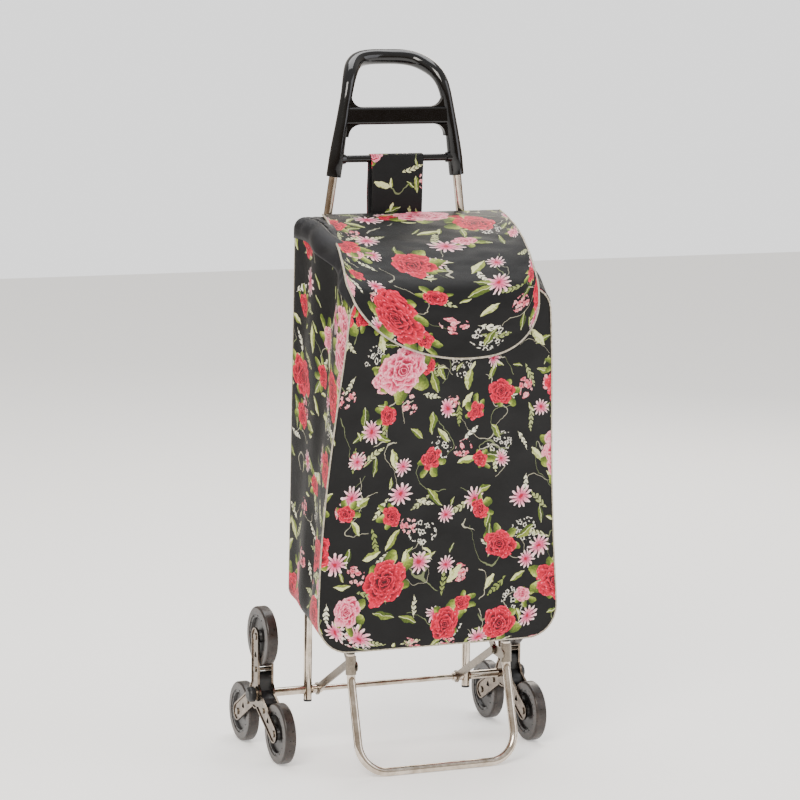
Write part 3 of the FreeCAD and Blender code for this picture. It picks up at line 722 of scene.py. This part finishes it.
def front_panel():
    """The printed front: hangs from its top corners, a little full, with drawn folds."""
    count = len(FRONT_SIDE) - 1

    def place(u, v):
        half, z = sample(FRONT_SIDE, v)
        across = 2 * u - 1
        point = front_point(across * half, z)
        free = 1 - abs(across) ** 4
        rise = math.sin(math.pi * min(max(v, 0.0), 1.0)) ** 0.6
        full = 5.0 * free * rise * smooth(690.0, 560.0, z)
        drawn = 3.8 * ripple(across * half * 1.6, z * 0.55, 0, 4.0, 75.0)
        drawn += 2.6 * ripple(across * half + 0.9 * z, z - 0.7 * across * half, 0, 9.0, 46.0)
        slack = 3.0 * math.sin(z / 46.0 + 1.3 * across) * smooth(330.0, 200.0, z)
        point.y -= (full + (drawn + slack) * free * rise) * MM
        return point

    size = (2 * front_width(400.0) * MM, (FRONT["high"] - FRONT["low"]) * MM, 0.037, 0.0)
    return cloth("bag_front_panel", 72, count, place, size)


def back_panel():
    """The back against the posts, pulled in a little between the loops."""
    count = len(BACK_SIDE) - 1

    def place(u, v):
        half, z = sample(BACK_SIDE, v)
        across = 2 * u - 1
        free = (1 - abs(across) ** 6) * math.sin(math.pi * min(max(v, 0.0), 1.0)) ** 0.5
        sag = 3.5 + 2.5 * ripple(across * half, z, 0, 14.0, 80.0)
        return in_frame(across * half, BACK_SEAM_Y - sag * free, z)

    size = (2 * back_width(500.0) * MM, (BACK["high"] - BACK["low"]) * MM, 0.9, 0.21)
    return cloth("bag_back_panel", 56, count, place, size, flip=True)


def gusset_loops():
    """The seam lines of the gusset, from the left shoulder round the bottom to the right."""
    loops = []
    for side in (BACK_SIDE, FRONT_SIDE):
        down = [(-x, z) for x, z in reversed(side)]
        base = [(side[0][0] * (2 * i / BASE_STEPS - 1), side[0][1])
                for i in range(1, BASE_STEPS)]
        loops.append(down + base + list(side))
    return loops


BACK_LOOP, FRONT_LOOP = gusset_loops()


def gusset_point(u, v):
    """A point of the gusset: u from the left shoulder round to the right, v back to front."""
    (bx, bz), (fx, fz) = sample(BACK_LOOP, u), sample(FRONT_LOOP, u)
    x, z = bx + (fx - bx) * v, bz + (fz - bz) * v
    y = BACK_SEAM_Y + (-BACK_SEAM_Y - front_depth(fz)) * v
    side = smooth(195.0, 300.0, z) * (1 if x > 0 else -1)
    middle = math.sin(math.pi * min(max(v, 0.0), 1.0))
    wander = 0.3 * ripple(0, z, 0, 21.0 if x > 0 else 5.0, 170.0)
    waves = math.sin(2 * math.pi * (2.1 * v + wander)) * (0.6 + 0.4 * math.sin(z / 95.0))
    sag = 8.0 * middle + 8.0 * waves * middle ** 0.7
    sag += 2.6 * ripple(x, y * 1.5, z * 0.6, 31.0, 55.0) * middle
    sag *= smooth(770.0, 640.0, z) * 0.6 + 0.4
    lift = 17.0 * math.sin(math.pi * v ** 0.85) * smooth(600.0, 740.0, z + 60.0 * v)
    rest = 1.2 * ripple(x, y, 0, 40.0, 55.0) * middle * (1 - abs(side))
    return in_frame(x - side * sag, y, z + lift + abs(rest))


def gusset():
    """One strip of cloth round the sides and bottom, with soft upright folds."""
    girth = sum((Vector(a) - Vector(b)).length for a, b in zip(FRONT_LOOP, FRONT_LOOP[1:]))
    size = (girth * MM, 0.178, 0.45, 0.62)
    return cloth("bag_gusset", len(BACK_LOOP) - 1, 36, gusset_point, size, offset=1.0)


def mouth_band(name, left):
    """The black binding of the mouth, folded over the gusset's top edge."""
    steps = len(BACK_LOOP) - 1

    def place(u, v):
        depth = min(max(v, 0.002), 0.998)
        share = u * (9.6 - 3.6 * depth) / steps
        at = gusset_point(share if left else 1 - share, depth)
        further = share + 0.3 / steps
        down = gusset_point(further if left else 1 - further, depth) - at
        out = Vector((-down.z, 0.0, down.x)) * (1 if left else -1)
        if out.length > 0:
            out.normalize()
        pucker = 0.9 * math.sin(46 * depth + 2.0 * math.sin(9 * depth)) * math.sin(math.pi * u)
        return at - out * (2.1 + pucker) * MM

    return cloth(name, 12, 90, place, (0.045, 0.175, 0.6, 0.2),
                 [MATERIALS["lining_fabric"]], 0.7 * MM, 0.0, flip=left)


def mouth_rim(u):
    """A point round the mouth's sewn edge, from the middle of the back, by length."""
    back_half, front_half, side = BACK_SIDE[-1][0], FRONT_SIDE[-1][0], 208.0
    at = u * 2 * (back_half + front_half + side)
    if at < back_half:
        return in_frame(-at, BACK_SEAM_Y, BACK["high"])
    at -= back_half
    if at < side:
        return gusset_point(0.0, at / side)
    at -= side
    if at < 2 * front_half:
        return front_point(at - front_half, FRONT["high"])
    at -= 2 * front_half
    if at < side:
        return gusset_point(1.0, 1 - at / side)
    at -= side
    return in_frame(back_half - at, BACK_SEAM_Y, BACK["high"])


def collar():
    """The gathered lining round the mouth, with a rolled hem round its opening."""
    gathers, middle = 54, -105.0

    def place(u, v):
        rim = mouth_rim(u % 1.0)
        x, y, z = rim.x / MM, (rim.y - AXLE_Y) / MM, rim.z / MM
        angle = 2 * math.pi * u
        inward = smooth(0.2, 1.0, v) * 0.42
        pleat = math.sin(gathers * angle + 0.8 * math.sin(5 * angle)) * (0.3 + 2.4 * v)
        grow = (0.987 - inward) * (1 + pleat / 80.0)
        corner = abs(x / 150.0) ** 3 * abs((y - middle) / 100.0) ** 3 * inward * 0.35
        grow -= min(corner, 0.1)
        open_side = smooth(-70.0, -100.0, x) * smooth(-125.0, -60.0, y)
        stand = (1.0 + 8.0 * open_side) * math.sin(math.pi * min(v / 0.7, 1.0) * 0.5)
        x, y = x * grow, middle + (y - middle) * grow
        z += stand - 1.5 + (722.0 - z) * inward + 0.8 * pleat * v - 8.0 * v ** 2
        return in_frame(x, y, z)

    made = cloth("bag_collar_gathered", gathers * 6, 16, place, (0.92, 0.052, 0.0, 0.0),
                 [MATERIALS["lining_fabric"]], 0.7 * MM)
    edge = [place(i / 240, 0.98) + Vector((0, 0, 1.2 * MM)) for i in range(240)]
    hem = cord_trim("collar_hem", edge, 1.6 * MM, MATERIALS["lining_fabric"], True)
    return made, hem


# ---------------------------------------------------------------- flap, strap and loops

def flap_profile():
    """(Y, Z) down the middle of the flap: over the mouth, round the fold, to the hem."""
    runs = [((FLAP_HINGE_Y, FLAP_HINGE_Z), (-60.0, 765.0), (-130.0, 754.0), (-183.0, 708.0)),
            ((-183.0, 708.0), (-204.0, 691.0), (-216.5, 682.0), (-217.0, 655.0)),
            ((-217.0, 655.0), (-216.5, 632.0), (-214.0, 610.0), (-213.0, 587.0))]
    points = []
    for start, handle_1, handle_2, end in runs:
        arc = interpolate_bezier(*[Vector((*p, 0)) for p in (start, handle_1, handle_2, end)], 30)
        points += arc[len(points) > 0:]
    lengths = [0.0]
    for a, b in zip(points, points[1:]):
        lengths.append(lengths[-1] + (b - a).length)
    return points, lengths


PROFILE, PROFILE_LENGTHS = flap_profile()
FLAP_LENGTH = PROFILE_LENGTHS[-1]
FLAP_BACK, FLAP_FRONT = (-114.0, 160.0), (-157.0, 129.0)
HEM_LOWEST = 0.62
HEM_LEFT, HEM_RIGHT = (120.0, 1.9), (87.0, 2.6)


def along_profile(distance):
    """The profile's (Y, Z) at a distance along the cloth."""
    distance = min(max(distance, 0.0), FLAP_LENGTH)
    for i, (a, b) in enumerate(zip(PROFILE_LENGTHS, PROFILE_LENGTHS[1:])):
        if distance <= b:
            point = PROFILE[i].lerp(PROFILE[i + 1], (distance - a) / (b - a))
            return point.x, point.y
    return PROFILE[-1].x, PROFILE[-1].y


def hem_rise(u):
    """How far the rounded hem stands above its lowest point."""
    if u < HEM_LOWEST:
        height, power = HEM_LEFT
        edge = 1 - u / HEM_LOWEST
    else:
        height, power = HEM_RIGHT
        edge = (u - HEM_LOWEST) / (1 - HEM_LOWEST)
    return height * (1 - max(1 - edge ** power, 0.0) ** (1 / power))


def flap_point(u, v):
    """The flap's cloth: askew, rounded at the hem, sagging over the mouth."""
    u = 0.5 - 0.5 * math.cos(math.pi * u)
    across = 2 * u - 1
    reach = FLAP_LENGTH - hem_rise(u)
    distance = v * reach
    y, z = along_profile(distance)
    skew = min(distance / 232.0, 1.0)
    left = FLAP_BACK[0] + (FLAP_FRONT[0] - FLAP_BACK[0]) * skew
    right = FLAP_BACK[1] + (FLAP_FRONT[1] - FLAP_BACK[1]) * skew
    x = left + (right - left) * u
    over_mouth = smooth(25.0, 90.0, distance) * smooth(225.0, 165.0, distance)
    sag = 6.0 * (1 - across ** 2) * over_mouth
    droop = (8.0 if across < 0 else 1.0) * abs(across) ** 5 * over_mouth
    wrinkle = 2.4 * ripple(x, distance, 0, 51.0, 60.0)
    wrinkle += 1.3 * ripple(x, distance * 2, 0, 57.0, 30.0)
    hang = smooth(225.0, 260.0, distance)
    y -= hang * (1.8 * math.sin(x / 34.0 + 0.6) * smooth(235.0, 330.0, distance))
    y -= hang * wrinkle * 0.5
    z += (1 - hang) * (wrinkle * over_mouth - sag - droop)
    return in_frame(x, y, z)


def flap():
    """The flap with piping sewn round its three free edges."""
    made = cloth("flap_cloth", 84, 96, flap_point, (0.28, FLAP_LENGTH * MM, 1.65, 0.09),
                 thick=1.4 * MM, offset=0.0, flip=True)
    left = [flap_point(0.0, i / 60) for i in range(60)]
    hem = [flap_point(i / 120, 1.0) for i in range(121)]
    right = [flap_point(1.0, 1 - i / 60) for i in range(1, 61)]
    edge = cord_trim("flap_piping", left + hem + right, 1.5 * MM, PIPING)
    return made, edge


def flap_hinge():
    """The strip of lining that joins the flap to the top of the bag's back."""
    line = [(-14.4, 752.0), (-14.5, 763.0), (-15.6, 767.6), (-18.5, 768.8), (-24.0, 767.6),
            (-32.0, 766.0)]

    def place(u, v):
        y, z = sample(line, v)
        return in_frame(-113.0 + 272.0 * u, y, z + 0.3 * ripple(270 * u, z, 0, 3.0, 40.0))

    return cloth("flap_hinge_strip", 60, 20, place, (0.272, 0.036, 0.5, 0.5),
                 [MATERIALS["lining_fabric"]], 0.7 * MM, 0.0, flip=True)


def strap():
    """The wide loop of printed cloth over the handle's rod."""
    radius, low, half = (ROD_HIGH[2] - ROD_Z) / MM + 1.2, 744.0, 40.0
    rod_y, rod_z = (ROD_Y - AXLE_Y) / MM, ROD_Z / MM
    straight = rod_z - low
    turn = math.pi * radius
    total = 2 * straight + turn

    def place(u, v):
        distance = v * total
        if distance < straight:
            y, z = rod_y - radius, low + distance
        elif distance < straight + turn:
            angle = (distance - straight) / radius
            y, z = rod_y - radius * math.cos(angle), rod_z + radius * math.sin(angle)
        else:
            y, z = rod_y + radius, rod_z - (distance - straight - turn)
        free = smooth(0, 35, distance) * smooth(total, total - 35, distance)
        free *= abs(math.cos(math.pi * v))
        # The two layers close up towards the seam at the foot
        y += (rod_y - y) * 0.5 * smooth(60, 0, min(distance, total - distance))
        across = (2 * u - 1) * (1 - 0.035 * math.sin(math.pi * min(distance / straight, 1.0)))
        y += 1.2 * free * ripple(across * half, distance, 0, 71.0, 38.0) * (1 if v > 0.5 else -1)
        y -= 0.9 * free * abs(across) ** 3 * (-1 if v > 0.5 else 1)
        shift = 1.5 * smooth(straight, total, distance)
        return in_frame(across * half - shift, y, z)

    return cloth("strap_cloth", 26, 90, place, (0.08, total * MM, 2.3, 0.35), thick=1.0 * MM,
                 offset=0.0)


def post_loop(name, side, z0):
    """A narrow band round a post, sewn to the bag's back at both ends."""
    radius, height, tail = 7.1, 26.0, 14.6
    total = 2 * tail + math.pi * radius
    post = POST_X / MM

    def place(u, v):
        distance = u * total
        if distance < tail:
            x, y = -radius, -tail + distance
        elif distance < total - tail:
            angle = (distance - tail) / radius
            x, y = -radius * math.cos(angle), radius * math.sin(angle)
        else:
            x, y = radius, -(distance - (total - tail))
        return in_frame(side * (post + x), y, z0 + height * v)

    return cloth(name, 40, 8, place, (total * MM, height * MM, 0.3, 0.1),
                 [MATERIALS["lining_fabric"]], 0.9 * MM, 0.0)


def bag_piping():
    """Corded piping in the front and back seams, from shoulder to shoulder."""
    trims = []
    for name, side, point in (
            ("front_seam_piping", FRONT_SIDE, front_point),
            ("back_seam_piping", BACK_SIDE, lambda x, z: in_frame(x, -15.6, z))):
        down = [(-x, z) for x, z in reversed(side)]
        base = [(side[0][0] * k / 10, side[0][1]) for k in range(-9, 10)]
        points = [point(x, z) for x, z in down + base + list(side)]
        trims.append(cord_trim(name, points, 1.15 * MM, PIPING))
    return trims


def bag_board():
    """The stiff sheet in the bottom of the bag, which folds up with the platform."""
    low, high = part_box("bottom_board")
    thick, slope = 2.4 * MM, math.radians(14.68)
    behind_hinge = 26.0 * MM
    run = (high[1] - low[1] - behind_hinge) / math.cos(slope)
    middle = (Vector(low) + Vector(high)) / 2
    middle -= Vector((0.0, 1.0, math.tan(slope))) * behind_hinge / 2
    work = bmesh.new()
    size = Matrix.Diagonal((high[0] - low[0], run, thick * math.cos(slope), 1.0))
    turned = Matrix.Translation(middle) @ Matrix.Rotation(slope, 4, "X") @ size
    bmesh.ops.create_cube(work, size=1.0, matrix=turned)
    bmesh.ops.bevel(work, geom=work.edges, offset=0.6 * MM, segments=2, profile=0.5,
                    affect="EDGES", material=-1)
    board = finish_mesh("bag_board", mesh_from(work, "bag_board"), [MATERIALS["board_plastic"]])
    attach(board, "platform")
    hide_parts("bottom_board")
    return board


def build_bag():
    """Make and attach every cloth piece, and hide the frame's parts that they replace."""
    front, back, side = front_panel(), back_panel(), gusset()
    mouth, mouth_hem = collar()
    lid, lid_edge = flap()
    bag_board()
    hanger, hinge = strap(), flap_hinge()
    bands = [mouth_band("mouth_band_left", True), mouth_band("mouth_band_right", False)]
    front_trim, back_trim = bag_piping()
    loops = [post_loop("post_loop_{}_{}".format(word, level), sign, z)
             for word, sign in (("left", -1), ("right", 1))
             for level, z in (("low", 300.0), ("high", 524.0))]

    for piece in (front, back, side, mouth, mouth_hem, hanger, front_trim, back_trim, *bands,
                  *loops):
        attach(piece, "frame")
    for piece in (lid, lid_edge):
        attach(piece, "flap")
    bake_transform(hinge)
    for piece, nodes in ((front, ["bag_front"]), (back, ["bag_back"]), (mouth, ["bag_collar"]),
                         (side, ["bag_side_left", "bag_side_right", "bag_bottom"]),
                         (lid, ["flap"]), (hanger, ["strap"]), (loops[0], ["post_loops"])):
        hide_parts(*nodes)

    for piece in (front, back, side, mouth, mouth_hem, front_trim, back_trim, *bands):
        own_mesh(piece)
    for piece in (lid, lid_edge):
        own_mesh(piece)


# ---------------------------------------------------------------- stage

def studio():
    """Pale floor and soft lights."""
    work = bmesh.new()
    bmesh.ops.create_grid(work, x_segments=1, y_segments=1, size=6.0)
    paper, tree, shader = new_material("matt paper floor")
    set_on(shader, Base_Color=linear("#F6F5F3"), Roughness=0.9, Specular_IOR_Level=0.0,
           Emission_Color=linear("#FFFDFA"), Emission_Strength=0.45)
    floor = finish_mesh("studio_floor", mesh_from(work, "studio_floor"), [paper])
    floor.location.z = -0.5 * MM

    for name, energy, size, place, aim, tint in (
            ("key", 125.0, 1.6, (-1.9, -2.4, 2.6), (0, 0, 0.55), "#FFFAF2"),
            ("fill", 38.0, 2.2, (2.6, -2.0, 1.6), (0, 0, 0.5), "#F4F7FF"),
            ("top", 55.0, 1.8, (0.2, 0.6, 3.0), (0, 0, 0.6), "#FFFFFF"),
            ("rim", 30.0, 1.2, (1.8, 2.2, 1.9), (0, 0, 0.6), "#FFF6EA")):
        data = bpy.data.lights.new(name, "AREA")
        data.energy, data.size, data.color = energy, size, linear(tint)[:3]
        lamp = bpy.data.objects.new(name, data)
        lamp.location = place
        lamp.rotation_euler = (Vector(place) - Vector(aim)).to_track_quat("Z", "Y").to_euler()
        bpy.context.scene.collection.objects.link(lamp)


def sky():
    """A white studio for the camera, and a warm banded room for the metal to mirror."""
    world = bpy.data.worlds.new("studio")
    bpy.context.scene.world = world
    world.use_nodes = True
    tree = world.node_tree
    tree.nodes.clear()
    way = add(tree, "TexCoord").outputs["Generated"]
    height = add(tree, "SeparateXYZ", [way]).outputs[2]
    level = add(tree, "MapRange", [height, -1.0, 1.0, 0.0, 1.0])
    room = ramp(tree, level, [(0.0, "#8A7B6A"), (0.4, "#4A3D32"), (0.5, "#A8937C"),
                              (0.6, "#E9E1D6"), (1.0, "#FFFFFF")])
    seen = add(tree, "LightPath")
    color = mix(tree, seen.outputs["Is Camera Ray"], room, (1.9, 1.9, 1.9, 1.0))
    light = add(tree, "Background", [color, 0.85])
    tree.links.new(light.outputs[0], tree.nodes.new("ShaderNodeOutputWorld").inputs[0])


def camera():
    """Long lens from the front left, slightly above, with a touch of roll."""
    turn, down, roll = math.radians(23.37), math.radians(8.44), math.radians(0.69)
    target, distance = Vector((0.0145, AXLE_Y, 0.4993)), 4.776
    back = Vector((-math.sin(turn) * math.cos(down), -math.cos(turn) * math.cos(down),
                   math.sin(down)))
    right = Vector((math.cos(turn), -math.sin(turn), 0.0))
    up = back.cross(right)
    x_axis = right * math.cos(roll) + up * math.sin(roll)
    y_axis = up * math.cos(roll) - right * math.sin(roll)
    data = bpy.data.cameras.new("camera")
    data.lens, data.sensor_width = 149.5, 36.0
    eye = bpy.data.objects.new("camera", data)
    rotation = Matrix((x_axis, y_axis, back)).transposed().to_4x4()
    eye.matrix_world = Matrix.Translation(target + back * distance) @ rotation
    bpy.context.scene.collection.objects.link(eye)
    bpy.context.scene.camera = eye


paint_frame()
build_bag()
studio()
sky()
camera()
